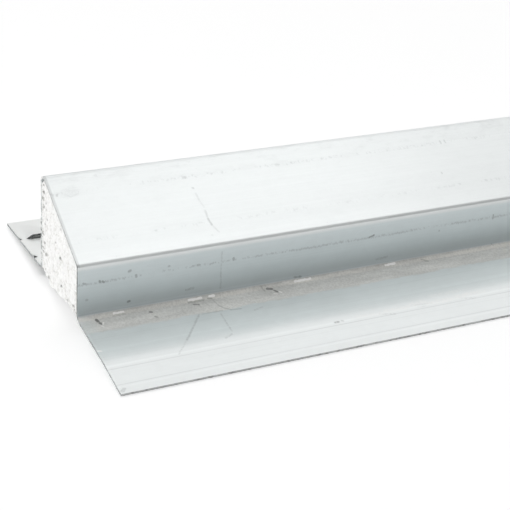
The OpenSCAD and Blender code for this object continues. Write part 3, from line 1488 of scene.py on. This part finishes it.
@dataclass(frozen=True)
class Galvanised:
    """The zinc-coated faces of the sheet, with the dirt and scars of storage on them, and with painted light and shade
    where a face is toned darker or lighter than the same zinc elsewhere.

    All distances are in millimetres, in front of the web or behind it where they are below 0. A fade is where it
    starts and ends, and for a dulling also how much it dulls at each. A line along the flange is its distance, its
    half width and its tone; dark ones are roll lines, and lighter ones are painted highlights. The lone specks of one
    kind are their scale, share, size and strength.
    """

    face: Face
    zinc: Colour = (0.89, 0.92, 0.918)
    web_shade_tint: Colour = (0.85, 0.895, 0.91)
    foot_shade_tint: Colour = (0.7, 0.71, 0.715)
    rear_patina: Colour = (0.86, 0.89, 0.9)
    rear_flange_light: Colour = (0.97, 0.975, 0.955)
    shade_and_film: Colour = (0.83, 0.865, 0.868)
    toe_shade_tint: Colour = (0.97, 0.97, 0.97)
    dirt: Colour = (0.53, 0.53, 0.505)
    dust: Colour = (0.72, 0.725, 0.7)
    ledge: Colour = (0.85, 0.825, 0.765)
    scar: Colour = (0.035, 0.04, 0.038)
    flake_and_glint: Colour = (1.0, 0.995, 0.975)
    metallic: float = 0.5
    roughness: float = 0.32
    relief: float = 0.02 * MM
    foot_shade_fade: Point = (2.0, 27.0)
    toe_shade_fade: Point = (74.0, 100.0)
    shade_and_film_band: Row = (2.0, 12.0, 46.0, 67.0)
    knee_highlight_fade: Row = (-18.0, -5.0, 0.035, 0.0)
    ridge_dulling: Row = (-84.0, -62.0, 0.09, 0.02)
    lengthwise_shade: Row = (230.0, 430.0, 0.0, 0.07)
    end_dulling: Row = (2.8, 1.0, 0.2)
    dirt_fade: Point = (14.0, 31.0)
    dirt_cover: float = 0.92
    dirt_near_end: Row = (2.0, 16.0, 0.5, 1.0)
    ledge_band: Row = (1.4, 2.6, 4.0, 5.6)
    web_row: float = 41.3
    web_scuffs: float = 0.24
    slope_rows: tuple[Point, ...] = ((67.6, 0.15), (21.4, 0.1))
    lone_specks: tuple[Row, ...] = ((0.03, 0.3, 0.035, 0.22), (0.12, 0.12, 0.06, 0.1))
    roll_lines_and_sheen: tuple[Row, ...] = (
        (66.6, 2.4, 1.07),
        (70.2, 0.9, 0.84),
        (76.0, 0.8, 0.95),
        (88.6, 1.0, 0.86),
        (91.2, 1.4, 1.05),
        (46.0, 3.0, 1.04),
        (31.0, 0.9, 0.96),
    )

    def make(self, sizes: LintelSizes, effects: Effects) -> bpy.types.Material:
        """Builds the material.

        Args:
            sizes: The lintel's sizes.
            effects: The shared groups.

        Returns:
            The material.
        """
        graph = Finish("zinc_" + self.face.name.lower(), sizes, effects)
        grain = graph.grain()
        web, top = self.web_mask(graph), self.flange_top(graph)
        # Painted shade: the front web's zinc is toned darker than the other faces, and darker again towards its foot.
        colour = graph.stain(web, graph.toned(self.zinc, grain.outputs["Tone"]), self.web_shade_tint)
        low = graph.fall(graph.minus(graph.z, graph.level), *self.foot_shade_fade)
        colour = graph.stain(graph.times(web, low), colour, self.foot_shade_tint)
        if self.face is Face.SLOPE:
            colour = self.add_slope_shading_and_clouds(graph, colour)
        if self.face is Face.REST:
            colour = self.add_rear_cloud_and_light(graph, colour)
        # Painted shade: the toe's outer part is toned a little darker.
        toe = graph.times(graph.smooth(graph.ahead, *self.toe_shade_fade), top)
        colour = graph.stain(toe, colour, self.toe_shade_tint)
        # Painted shade on the flange near the web, fading out by its middle; the same band also makes the zinc a
        # little less metallic and rougher.
        shade_and_film = graph.times(graph.band(graph.ahead, *self.shade_and_film_band), top)
        colour = graph.stain(shade_and_film, colour, self.shade_and_film)
        colour, dirt = self.add_dirt(graph, top, colour)
        if self.face is Face.FLANGE:
            colour = self.add_roll_lines_and_sheen(graph, top, colour)
        disturbed = graph.disturbed(graph.place, 0.35, 1.6)
        holes = graph.smooth(graph.noise(graph.place, (0.5, 0.5, 0.5)), 0.42, 0.58)
        scars = graph.marks(self.face, DARK_MARKS, disturbed, holes)
        scars = graph.most(scars, self.scuffs(graph, web), self.scattered(graph))
        colour = graph.blend(scars, colour, self.scar)
        # Pale flakes and worn patches, and painted glints along the foot of the web.
        flakes_and_glints = graph.marks(self.face, PALE_MARKS, disturbed, holes)
        colour = graph.blend(flakes_and_glints, colour, self.flake_and_glint)
        dry = graph.most(dirt, flakes_and_glints, graph.times(scars, 0.7), graph.times(shade_and_film, 0.15))
        metallic = graph.times(graph.minus(1.0, dry), self.metallic)
        roughness = graph.plus(grain.outputs["Gloss"], graph.times_plus(dry, 0.5, self.roughness))
        height = graph.times_plus(dirt, 0.5, grain.outputs["Height"])
        return graph.finish(colour, metallic, roughness, height, self.relief)

    def web_mask(self, graph: Finish) -> Socket:
        """Gives the front face of the front web."""
        inner = graph.band(graph.z, graph.level + 0.8, graph.level + 3.6, graph.knee - 6, graph.knee - 2)
        return graph.times(inner, graph.fall(graph.y, graph.front + 0.7, graph.front + 1.2))

    def flange_top(self, graph: Finish) -> Socket:
        """Gives the upper side of the front flange.

        Args:
            graph: The material's graph.

        Returns:
            The mask.
        """
        slope, toe_slope = grade(graph.sizes.front_angle), grade(graph.sizes.toe_slope)
        past_fold = graph.most(graph.minus(graph.ahead, mm(graph.sizes.bare_flange)), 0.0)
        drop = graph.plus(graph.times(graph.ahead, slope), graph.times(past_fold, toe_slope - slope))
        over = graph.plus(graph.minus(graph.z, graph.level), drop)
        return graph.times(graph.smooth(over, -1.2, -0.8), graph.smooth(graph.ahead, -1.0, 0.5))

    def add_slope_shading_and_clouds(self, graph: Finish, colour: Socket) -> Socket:
        """Paints light and shade on the slope: it stays a little lighter by the knee, a painted highlight, and is
        darker past its first third along the lintel, a painted shade; it is also dulled in clouds near the ridge and
        darkened close to both ends.

        Args:
            graph: The material's graph.
            colour: The clean colour.

        Returns:
            The toned colour.
        """
        # Painted highlight: the slope is left lighter within a few millimetres of the knee.
        near_knee = graph.smooth(graph.ahead, *self.knee_highlight_fade)
        # Painted shade: the slope darkens past its first third along the lintel.
        further = graph.smooth(graph.from_left, *self.lengthwise_shade)
        cloud = graph.smooth(graph.noise(graph.place, (0.05, 0.12, 0.12), 4.0, 0.65), 0.45, 0.75)
        near_ridge = graph.times(graph.smooth(graph.ahead, *self.ridge_dulling), cloud)
        start, end, most = self.end_dulling
        near_end = graph.times(graph.near_ends(start, end), most)
        return graph.toned(colour, graph.minus(1.0, graph.plus(near_knee, further, near_ridge, near_end)))

    def add_rear_cloud_and_light(self, graph: Finish, colour: Socket) -> Socket:
        """Dulls the rear web in clouds, and paints the rear flange lighter than the rest of the same zinc, a painted
        light.

        Args:
            graph: The material's graph.
            colour: The clean colour.

        Returns:
            The colour of both.
        """
        cloud = graph.smooth(graph.noise(graph.place, (0.01, 0.05, 0.02), 4.0, 0.6), 0.25, 0.75, 0.5, 1.0)
        standing = graph.fall(graph.y, graph.rear + 4, graph.rear + 12)
        colour = graph.stain(graph.times(cloud, standing), colour, self.rear_patina)
        # Painted light: the rear flange is toned lighter than the same zinc elsewhere.
        return graph.blend(graph.smooth(standing, 0.0, 1.0, 0.6, 0.0), colour, self.rear_flange_light)

    def add_roll_lines_and_sheen(self, graph: Finish, top: Socket, colour: Socket) -> Socket:
        """Draws faint lines along the front flange: dark roll lines, and lighter bands that are painted highlights.

        Args:
            graph: The material's graph.
            top: The upper side of the front flange.
            colour: The colour under the lines.

        Returns:
            The colour with the lines.
        """
        uneven = graph.smooth(graph.noise(graph.place, (0.02, 0.4, 0.4), 3.0), 0.25, 0.6, 0.35, 1.0)
        # A tone above 1 makes a lighter band, a painted highlight such as the sheen by the toe's fold.
        for distance, reach, tone in self.roll_lines_and_sheen:
            line = graph.fall(graph.size_of(graph.minus(graph.ahead, distance)), 0.0, reach)
            colour = graph.stain(graph.times(line, top, uneven), colour, (tone, tone, tone))
        return colour

    def add_dirt(self, graph: Finish, top: Socket, colour: Socket) -> tuple[Socket, Socket]:
        """Lays the strip of dirt at the foot of the web.

        Args:
            graph: The material's graph.
            top: The upper side of the front flange.
            colour: The colour under the dirt.

        Returns:
            The colour with the dirt on it, and the dirt's mask.
        """
        near_end = graph.smooth(graph.from_left, *self.dirt_near_end)
        below = graph.fall(graph.z, graph.level + 1.6, graph.level + 3.0)
        spread = graph.times(graph.fall(graph.ahead, *self.dirt_fade), top, below)
        ragged = graph.group(graph.effects.ragged, Place=graph.place, Cover=spread, Rough=0.55)
        mottle = ragged.outputs["Mottle"]
        dirt = graph.times(ragged.outputs["Mask"], near_end, self.dirt_cover, graph.smooth(spread, 0.0, 0.3))
        patch = graph.noise(graph.place, (0.018, 0.09, 0.09), 3.0, 0.6)
        tint = graph.toned(graph.blend(mottle, self.dirt, self.dust), graph.smooth(patch, 0.3, 0.7, 0.88, 1.1))
        colour = graph.blend(dirt, colour, tint)
        line = graph.times(graph.band(graph.ahead, *self.ledge_band), top, graph.times_plus(mottle, 0.4, 0.3))
        line = graph.times(line, graph.smooth(patch, 0.35, 0.6, 0.5, 1.0))
        return graph.blend(line, colour, self.ledge), graph.most(dirt, line)

    def scuffs(self, graph: Finish, web: Socket) -> Socket:
        """Gives the three rows of uneven scuffs along the web and the slope.

        Args:
            graph: The material's graph.
            web: The front face of the front web.

        Returns:
            The mask.
        """
        dashes, place = graph.effects.dashes, graph.place
        row = graph.mask(dashes, Place=place, Gap=graph.minus(graph.z, self.web_row), Reach=1.7, Share=0.6)
        mask = graph.times(row, web, self.web_scuffs)
        slope = graph.smooth(graph.z, graph.knee + 3, graph.knee + 5)
        for distance, strength in self.slope_rows:
            gap = graph.minus(graph.y, graph.front + distance)
            row = graph.mask(dashes, Place=place, Gap=gap, Reach=2.4, Share=0.5)
            mask = graph.most(mask, graph.times(row, slope, strength))
        return mask

    def scattered(self, graph: Finish) -> Socket:
        """Gives the few lone specks scattered over the whole sheet."""
        return graph.most(*[graph.times(graph.specks(*sort), strength) for *sort, strength in self.lone_specks])


@dataclass(frozen=True)
class ShearedEdge:
    """The bare cut edges of the sheet: grey steel, burnished in places, with dark spots.

    The shares say how strongly the spots show, and the painted shade on the web's edge and the painted light on the
    toe's and the slope's edges.
    """

    steel: Colour = (0.36, 0.37, 0.37)
    bright: Colour = (0.5, 0.52, 0.52)
    spot: Colour = (0.08, 0.085, 0.08)
    stain: Colour = (0.42, 0.43, 0.43)
    crumb: Colour = (0.92, 0.92, 0.9)
    pale: Colour = (0.6, 0.61, 0.61)
    shade: Colour = (0.3, 0.3, 0.3)
    spot_share: float = 0.75
    web_shade_share: float = 0.75
    toe_light_share: float = 0.35
    slope_light_share: float = 0.7
    metallic: float = 0.6
    roughness: float = 0.56
    relief: float = 0.04 * MM

    def make(self, sizes: LintelSizes, effects: Effects) -> bpy.types.Material:
        """Builds the material.

        Args:
            sizes: The lintel's sizes.
            effects: The shared groups.

        Returns:
            The material.
        """
        graph = Finish("sheared_edge", sizes, effects)
        y, z, front, rear = graph.y, graph.z, graph.front, graph.rear
        toe_edge, rear_edge, rear_level = mm(sizes.front_edge), mm(sizes.rear_edge), mm(sizes.rear_level)
        ragged = graph.mask(effects.ragged, Place=graph.place, Cover=0.45, Rough=1.1)
        colour = graph.blend(ragged, self.steel, self.bright)
        specks = graph.specks(0.35, 0.4, 0.55)
        colour = graph.blend(graph.times(specks, self.spot_share), colour, self.spot)
        # Painted shade: the web's cut edge is toned darker than the same steel elsewhere.
        web = graph.times(graph.fall(y, front + 2.4, front + 3.2), graph.smooth(z, graph.level + 3, graph.level + 8))
        colour = graph.stain(graph.times(web, self.web_shade_share), colour, self.stain)
        # Painted light: the toe's and the slope's cut edges are toned paler than the same steel elsewhere.
        toe = graph.fall(y, toe_edge + 0.8, toe_edge + 2)
        colour = graph.blend(graph.times(toe, self.toe_light_share), colour, self.pale)
        slope = graph.times(graph.smooth(y, front + 4, front + 7), graph.smooth(z, graph.knee, graph.knee + 2))
        colour = graph.blend(graph.times(slope, self.slope_light_share), colour, self.pale)
        slits = graph.band(y, rear + 10, rear + 12, rear_edge - 12, rear_edge - 10)
        inside = graph.minus(1.0, graph.near_ends(0.5, 0.2))
        colour = graph.stain(graph.times(slits, inside), colour, self.shade)
        rear_web = graph.times(graph.smooth(y, rear - 8, rear - 5), graph.smooth(z, rear_level + 3, rear_level + 7))
        stuck = graph.smooth(graph.noise(graph.place, (0.3, 0.3, 0.3), 3.0, 0.6), 0.42, 0.56)
        colour = graph.blend(graph.times(stuck, rear_web), colour, self.crumb)
        roughness = graph.times_plus(ragged, -0.12, self.roughness)
        return graph.finish(colour, self.metallic, roughness, graph.grain().outputs["Height"], self.relief)


@dataclass(frozen=True)
class BeadFoam:
    """White bead foam: round beads pressed together, with darker seams and torn-out pits that have painted shade in
    them.
    """

    bead: float = 3.8
    white: Colour = (0.95, 0.95, 0.94)
    seam: Colour = (0.76, 0.755, 0.73)
    pit: Colour = (0.3, 0.3, 0.28)
    pit_shade: Colour = (0.2, 0.2, 0.19)
    roughness: float = 0.78
    relief: float = 0.25 * MM
    pits: tuple[Row, ...] = FoamBlock.pits

    def make(self, sizes: LintelSizes, effects: Effects) -> bpy.types.Material:
        """Builds the material.

        Args:
            sizes: The lintel's sizes.
            effects: The shared groups.

        Returns:
            The material.
        """
        graph = Finish("bead_foam", sizes, effects)
        beads = {"Vector": graph.disturbed(graph.place, 0.4, 1.2), "Scale": 1 / self.bead}
        cells = graph.node("TexVoronoi", beads)
        gap = graph.node("TexVoronoi", beads, feature="DISTANCE_TO_EDGE").outputs["Distance"]
        seam = graph.fall(gap, 0.03, 0.22)
        loose = graph.smooth(graph.noise(graph.place, (0.16, 0.16, 0.16)), 0.38, 0.66)
        colour = graph.blend(graph.times(seam, loose), self.white, self.seam)
        tone = graph.node("SeparateColor", {0: cells.outputs["Color"]}).outputs[0]
        colour = graph.toned(colour, graph.times_plus(tone, 0.05, 0.96))
        rear = graph.smooth(graph.y, graph.rear - 14, graph.rear - 4)
        wide = graph.scaled(graph.place, (1.0, 0.45, 1.0))
        specks = graph.specks(0.32, graph.times_plus(rear, 0.5, 0.05), 0.42, wide)
        colour = graph.blend(graph.times(specks, graph.times_plus(rear, 0.3, 0.4)), colour, self.pit)
        # Painted shade in the pits of the end faces.
        colour = graph.blend(self.torn(graph), colour, self.pit_shade)
        height = graph.minus(1.0, graph.most(seam, specks))
        return graph.finish(colour, 0.0, self.roughness, height, self.relief)

    def torn(self, graph: Finish) -> Value:
        """Gives the painted shade in the pits of both end faces, darker in deeper ones.

        Args:
            graph: The material's graph.

        Returns:
            The mask.
        """
        section = graph.disturbed(graph.scaled(graph.place, (0.0, 1.0, 1.0)), 0.5, 1.4)
        mask = 0.0
        for y, z, radius, depth in self.pits:
            stroke = graph.mask(
                graph.effects.stroke,
                Place=section,
                Start=(0.0, y - radius, z + 0.4),
                Finish=(0.0, y + radius, z - 0.4),
                Radius=radius * 0.25,
                Feather=radius * 0.8,
                Strength=min(depth * 0.27, 0.75),
                Holes=0.0,
                Broken=0.0,
            )
            mask = graph.most(mask, stroke)
        return mask


# ---------------------------------------------------------------- room


@dataclass(frozen=True)
class Lobe:
    """A part of the sky: its level goes from start to end as the cosine of the angle to it goes from low to high."""

    toward: Spot
    low: float
    high: float
    start: float
    end: float

    def level(self, graph: Graph, direction: Socket) -> Socket:
        """Gives the lobe's level in a direction."""
        return graph.smooth(graph.dot(direction, self.toward), self.low, self.high, self.start, self.end)


@dataclass
class Studio:
    """The plain pale room: floor, sky, lamp and camera.

    Under the lintel the floor doesn't glow: within unlit_y of its middle, and within a distance along it that
    goes from unlit_x[2] to unlit_x[3] as Y goes from unlit_x[0] to unlit_x[1].
    """

    floor_size: float = 14.0
    unlit_x: Row = (0.03, 0.05, 0.574, 0.594)
    unlit_edge: float = 0.012
    unlit_y: Point = (0.136, 0.146)
    floor_white: float = 0.84
    floor_glow: float = 0.28
    mirrored_glow: float = 0.34
    sky: float = 0.66
    mirrored_sky: float = 0.45
    dim: Lobe = Lobe((0.42389, -0.87807, 0.22204), 0.2, 0.75, 1.0, 0.2)
    low_behind: Lobe = Lobe((0.0, 0.9, -0.436), 0.52, 0.85, 1.0, 0.4)
    bright: tuple[Lobe, ...] = (
        Lobe((0.42289, 0.0, 0.90619), 0.86, 0.965, 0.0, 0.9),
        Lobe((-1.0, 0.0, 0.0), 0.2, 0.8, 0.0, 0.94),
        Lobe((0.35, 0.8, 0.48), 0.78, 0.96, 0.0, 0.35),
    )
    lamp_place: Spot = (-1.6, -0.4, 1.5)
    lamp_size: float = 1.8
    lamp_power: float = 4
    camera_place: Spot = (-0.8989, -0.8975, 0.5555)
    camera_right: Spot = (0.897, -0.4362, 0.0728)
    camera_down: Spot = (-0.1482, -0.4517, -0.8797)
    sensor: float = 36
    lens: float = 92.08941

    def build(self) -> None:
        """Builds the whole room."""
        self.add_floor()
        self.add_sky()
        self.add_lamp()
        self.add_camera()
        bpy.context.scene.view_settings.view_transform = "Standard"

    def add_floor(self) -> None:
        """Lays the floor, which glows a little except under the lintel, so that it looks as pale as the room."""
        bpy.ops.object.select_all(action="DESELECT")
        bpy.ops.mesh.primitive_circle_add(vertices=64, radius=self.floor_size / 2, fill_type="NGON")
        floor = bpy.context.object
        floor.name = "floor"
        material = new_material("pale_floor")
        graph = Graph(material.node_tree)
        place = graph.node("TexCoord").outputs["Object"]
        x, y, _ = graph.node("SeparateXYZ", {0: place}).outputs
        reach = graph.smooth(y, *self.unlit_x)
        under_x = graph.fall(graph.size_of(x), reach, graph.plus(reach, self.unlit_edge))
        under_y = graph.fall(graph.size_of(y), *self.unlit_y)
        clear = graph.minus(1.0, graph.times(under_x, under_y))
        path = graph.node("LightPath").outputs
        seen = graph.times(path["Is Camera Ray"], clear, self.floor_glow)
        mirrored = graph.times(path["Is Glossy Ray"], clear, self.mirrored_glow)
        diffuse = graph.node("BsdfDiffuse", {"Color": (self.floor_white,) * 3})
        glow = graph.node("Emission", {"Color": (1, 1, 1), "Strength": graph.plus(seen, mirrored)})
        both = graph.node("AddShader", {0: diffuse.outputs[0], 1: glow.outputs[0]})
        graph.node("OutputMaterial", {"Surface": both.outputs[0]})
        floor.data.materials.append(material)

    def add_sky(self) -> None:
        """Makes the room's light: white all round, and dim in front where the room is unlit."""
        world = bpy.data.worlds.new("room")
        bpy.context.scene.world = world
        world.use_nodes = True
        world.node_tree.nodes.clear()
        graph = Graph(world.node_tree)
        direction = graph.node("TexCoord").outputs["Generated"]
        bright = [lobe.level(graph, direction) for lobe in self.bright]
        level = graph.times(graph.plus(*bright, self.sky), self.low_behind.level(graph, direction))
        path = graph.node("LightPath").outputs
        mirrored = graph.times(path["Is Glossy Ray"], self.mirrored_sky)
        lit = graph.times(graph.most(self.dim.level(graph, direction), mirrored), level)
        inputs = {0: path["Is Camera Ray"], 2: lit, 3: 1.0}
        strength = graph.node("Mix", inputs, data_type="FLOAT", clamp_factor=True).outputs[0]
        background = graph.node("Background", {"Color": (1, 1, 1), "Strength": strength})
        graph.node("OutputWorld", {"Surface": background.outputs[0]})

    def add_lamp(self) -> None:
        """Hangs one wide soft lamp over the left-hand side."""
        bpy.ops.object.light_add(type="AREA", location=self.lamp_place)
        lamp = bpy.context.object
        lamp.name = "soft_lamp"
        lamp.data.size = self.lamp_size
        lamp.data.energy = self.lamp_power
        lamp.rotation_euler = (-Vector(self.lamp_place)).to_track_quat("-Z", "Y").to_euler()

    def add_camera(self) -> None:
        """Places the camera."""
        data = bpy.data.cameras.new("camera")
        camera = bpy.data.objects.new("camera", data)
        bpy.context.scene.collection.objects.link(camera)
        data.sensor_width = self.sensor
        data.lens = self.lens
        right = Vector(self.camera_right).normalized()
        up = -Vector(self.camera_down)
        up = (up - up.dot(right) * right).normalized()
        turn = Matrix((right, up, right.cross(up))).transposed()
        camera.matrix_world = Matrix.Translation(Vector(self.camera_place)) @ turn.to_4x4()
        bpy.context.scene.camera = camera


def report(piece: Piece) -> None:
    """Logs a piece's name and its count of faces and corners."""
    log.info("%s: %d faces, %d corners", piece.name, len(piece.data.polygons), len(piece.data.vertices))


def main() -> None:
    """Builds every part of the scene in order."""
    logging.basicConfig(level=logging.INFO, format="%(message)s")
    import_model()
    sizes = LintelSizes()
    steel = FoldedSheet(sizes, LouvreSizes()).build()
    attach(steel, "root")
    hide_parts("steel_profile")
    report(steel)
    effects = Effects.build()
    for face in (Face.REST, Face.WEB, Face.FLANGE, Face.SLOPE):
        steel.data.materials[face.value] = Galvanised(face).make(sizes, effects)
    steel.data.materials[Face.EDGE.value] = ShearedEdge().make(sizes, effects)
    foam = FoamBlock(sizes).build()
    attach(foam, "root")
    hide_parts("insulation_core")
    report(foam)
    foam.data.materials.append(BeadFoam().make(sizes, effects))
    Studio().build()


if __name__ == "__main__":
    main()
